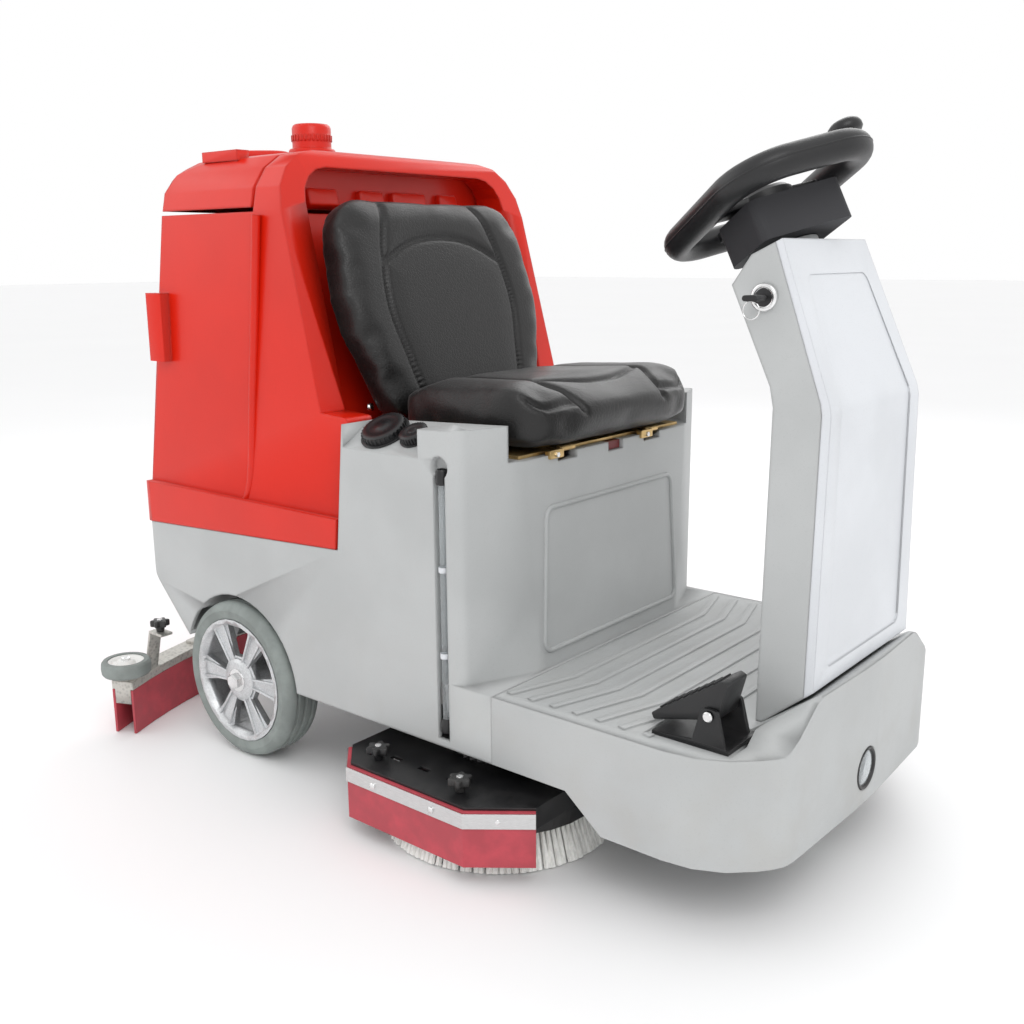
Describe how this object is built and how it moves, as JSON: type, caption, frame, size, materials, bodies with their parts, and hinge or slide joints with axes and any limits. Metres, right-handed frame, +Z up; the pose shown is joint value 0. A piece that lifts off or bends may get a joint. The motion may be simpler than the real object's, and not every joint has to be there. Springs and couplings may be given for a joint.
{
  "type": "ride-on floor scrubber",
  "caption": "Ride-on floor scrubber with seat, recovery tank, turning drive wheel, lifting disc brush deck and swivelling squeegee.",
  "frame": {"origin": "centre of the bounding box at floor level", "axes": "+X the driver's forward direction, +Y the driver's left, +Z up from the floor"},
  "size_m": [1.476, 0.936, 1.168],
  "materials": {
    "greyMoulding": "fine-grained rotomoulded plastic",
    "redMoulding": "glossy rotomoulded plastic",
    "blackPlastic": "satin black plastic",
    "clearPlastic": "clear polycarbonate",
    "blackPaint": "satin black paint",
    "steel": "brushed",
    "greyTyre": "non-marking grey rubber",
    "alloy": "cast and painted silver",
    "whiteMoulding": "smooth light plastic",
    "brass": "passivated yellow",
    "vinyl": "grained vinyl",
    "redPlastic": "moulded connector",
    "bristle": "nylon filament tufts",
    "redRubber": "matt",
    "zinc": "galvanised"
  },
  "bodies": {
    "chassis": {"main_frame": "blackPaint", "solution_tank": "greyMoulding", "footboard": "greyMoulding", "recovery_tank": "redMoulding", "rear_axle": "steel", "battery_pack": "blackPlastic", "suction_motor": "steel", "column_housing": "greyMoulding", "column_cover": "whiteMoulding", "pedal_base": "blackPlastic", "headlight": "clearPlastic", "sight_tube": "clearPlastic", "charging_socket": "redPlastic", "deck_actuator": "steel", "steering_chain": "steel"},
    "lid": {"tank_lid": "redMoulding"},
    "tank_cap": {"tank_cap": "redMoulding"},
    "filler_cap_large": {"filler_cap_large": "blackPlastic"},
    "filler_cap_small": {"filler_cap_small": "blackPlastic"},
    "rear_wheel_right": {"rear_tyre_right": "greyTyre", "rear_rim_right": "alloy"},
    "rear_wheel_left": {"rear_tyre_left": "greyTyre", "rear_rim_left": "alloy"},
    "steering_head": {"steering_wheel": "blackPlastic", "steering_shaft": "steel", "console_housing": "blackPlastic"},
    "spinner_knob": {"spinner_knob": "blackPlastic"},
    "direction_switch": {"direction_switch": "blackPlastic"},
    "lower_shaft": {"lower_shaft": "steel"},
    "fork": {"steering_fork": "blackPaint"},
    "drive_wheel": {"drive_wheel": "greyTyre"},
    "key": {"key": "blackPlastic"},
    "pedal": {"pedal": "blackPlastic"},
    "seat": {"seat_plate": "brass", "seat_cushion": "vinyl", "seat_back": "vinyl"},
    "deck": {"deck_plate": "blackPaint", "brush_motor_right": "blackPaint", "brush_motor_left": "blackPaint", "apron_right": "redRubber", "apron_left": "redRubber", "apron_strip_right": "steel", "apron_strip_left": "steel"},
    "brush_right": {"brush_block_right": "blackPlastic", "brush_bristles_right": "bristle"},
    "brush_left": {"brush_block_left": "blackPlastic", "brush_bristles_left": "bristle"},
    "squeegee_lift": {"squeegee_bracket": "zinc"},
    "squeegee": {"squeegee_bar": "steel", "squeegee_blade_front": "redRubber", "squeegee_blade_rear": "redRubber"},
    "squeegee_roller_right": {"squeegee_roller_right": "greyTyre"},
    "squeegee_roller_left": {"squeegee_roller_left": "greyTyre"},
    "squeegee_knob_right": {"squeegee_knob_right": "blackPlastic"},
    "squeegee_knob_left": {"squeegee_knob_left": "blackPlastic"},
    "deck_knob_1": {"deck_knob_1": "blackPlastic"},
    "deck_knob_2": {"deck_knob_2": "blackPlastic"},
    "deck_knob_3": {"deck_knob_3": "blackPlastic"},
    "deck_knob_4": {"deck_knob_4": "blackPlastic"}
  },
  "joints": [
    {"name": "lid_hinge", "type": "hinge", "parent": "chassis", "child": "lid", "pos_m": [-0.52749, 0, 1.008], "axis": [0, 1, 0], "range_deg": [-80, 0]},
    {"name": "tank_cap_turn", "type": "hinge", "parent": "lid", "child": "tank_cap", "pos_m": [-0.36299, -0.093, 1.139], "axis": [0, 0, 1], "range_deg": [0, 90]},
    {"name": "filler_cap_large_turn", "type": "hinge", "parent": "chassis", "child": "filler_cap_large", "pos_m": [0.02701, -0.304, 0.64852], "axis": [0, -0.5, 0.866], "range_deg": [0, 90]},
    {"name": "filler_cap_small_turn", "type": "hinge", "parent": "chassis", "child": "filler_cap_small", "pos_m": [0.09601, -0.306, 0.64737], "axis": [0, -0.5, 0.866], "range_deg": [0, 90]},
    {"name": "rear_wheel_right_spin", "type": "hinge", "parent": "chassis", "child": "rear_wheel_right", "pos_m": [-0.34299, -0.314, 0.15], "axis": [0, 1, 0], "continuous": true},
    {"name": "rear_wheel_left_spin", "type": "hinge", "parent": "chassis", "child": "rear_wheel_left", "pos_m": [-0.34299, 0.314, 0.15], "axis": [0, 1, 0], "continuous": true},
    {"name": "steering_turn", "type": "hinge", "parent": "chassis", "child": "steering_head", "pos_m": [0.52151, 0, 1.003], "axis": [-0.4384, 0, 0.8988], "range_deg": [-180, 180]},
    {"name": "spinner_knob_spin", "type": "hinge", "parent": "steering_head", "child": "spinner_knob", "pos_m": [0.62444, 0.04181, 1.09326], "axis": [-0.4384, 0, 0.8988], "continuous": true},
    {"name": "direction_switch_rock", "type": "hinge", "parent": "steering_head", "child": "direction_switch", "pos_m": [0.55422, -0.06405, 0.99337], "axis": [0.4895, 0.8387, 0.2388], "range_deg": [-8, 8]},
    {"name": "lower_shaft_turn", "type": "hinge", "parent": "chassis", "child": "lower_shaft", "pos_m": [0.67201, 0, 0.4], "axis": [0, 0, 1], "range_deg": [-180, 180]},
    {"name": "fork_turn", "type": "hinge", "parent": "chassis", "child": "fork", "pos_m": [0.58701, 0, 0.23], "axis": [0, 0, 1], "range_deg": [-63, 63]},
    {"name": "drive_wheel_spin", "type": "hinge", "parent": "fork", "child": "drive_wheel", "pos_m": [0.58701, 0, 0.105], "axis": [0, 1, 0], "continuous": true},
    {"name": "key_turn", "type": "hinge", "parent": "chassis", "child": "key", "pos_m": [0.60501, -0.15843, 0.868], "axis": [0, 1, 0], "range_deg": [0, 90]},
    {"name": "pedal_press", "type": "hinge", "parent": "chassis", "child": "pedal", "pos_m": [0.62301, -0.258, 0.316], "axis": [0, 1, 0], "range_deg": [0, 12], "stiffness_Nm_per_rad": 6, "springref_deg": -5.73},
    {"name": "seat_hinge", "type": "hinge", "parent": "chassis", "child": "seat", "pos_m": [0.25501, 0, 0.624], "axis": [0, 1, 0], "range_deg": [0, 60]},
    {"name": "deck_lift", "type": "slide", "parent": "chassis", "child": "deck", "axis": [0, 0, 1], "range_m": [0, 0.03]},
    {"name": "brush_right_spin", "type": "hinge", "parent": "deck", "child": "brush_right", "pos_m": [0.19701, -0.228, 0.09225], "axis": [0, 0, 1], "continuous": true},
    {"name": "brush_left_spin", "type": "hinge", "parent": "deck", "child": "brush_left", "pos_m": [0.19701, 0.228, 0.09225], "axis": [0, 0, 1], "continuous": true},
    {"name": "squeegee_lift_hinge", "type": "hinge", "parent": "chassis", "child": "squeegee_lift", "pos_m": [-0.55799, 0, 0.14], "axis": [0, 1, 0], "range_deg": [0, 15]},
    {"name": "squeegee_swivel", "type": "hinge", "parent": "squeegee_lift", "child": "squeegee", "pos_m": [-0.71499, 0, 0.108], "axis": [0, 0, 1], "range_deg": [-4, 4]},
    {"name": "squeegee_roller_right_spin", "type": "hinge", "parent": "squeegee", "child": "squeegee_roller_right", "pos_m": [-0.61092, -0.42, 0.135], "axis": [0, 0, 1], "continuous": true},
    {"name": "squeegee_roller_left_spin", "type": "hinge", "parent": "squeegee", "child": "squeegee_roller_left", "pos_m": [-0.61092, 0.42, 0.135], "axis": [0, 0, 1], "continuous": true},
    {"name": "squeegee_knob_right_turn", "type": "hinge", "parent": "squeegee", "child": "squeegee_knob_right", "pos_m": [-0.58307, -0.355, 0.1964], "axis": [0, 0, 1], "range_deg": [0, 180]},
    {"name": "squeegee_knob_left_turn", "type": "hinge", "parent": "squeegee", "child": "squeegee_knob_left", "pos_m": [-0.58307, 0.355, 0.1964], "axis": [0, 0, 1], "range_deg": [0, 180]},
    {"name": "deck_knob_1_turn", "type": "hinge", "parent": "deck", "child": "deck_knob_1", "pos_m": [0.07701, -0.392, 0.1284], "axis": [0, 0, 1], "range_deg": [0, 180]},
    {"name": "deck_knob_2_turn", "type": "hinge", "parent": "deck", "child": "deck_knob_2", "pos_m": [0.25501, -0.392, 0.1284], "axis": [0, 0, 1], "range_deg": [0, 180]},
    {"name": "deck_knob_3_turn", "type": "hinge", "parent": "deck", "child": "deck_knob_3", "pos_m": [0.07701, 0.392, 0.1284], "axis": [0, 0, 1], "range_deg": [0, 180]},
    {"name": "deck_knob_4_turn", "type": "hinge", "parent": "deck", "child": "deck_knob_4", "pos_m": [0.25501, 0.392, 0.1284], "axis": [0, 0, 1], "range_deg": [0, 180]}
  ],
  "couplings": [
    {"joint": "lower_shaft_turn", "follows": "steering_turn", "ratio": 1},
    {"joint": "fork_turn", "follows": "steering_turn", "ratio": 0.35}
  ]
}
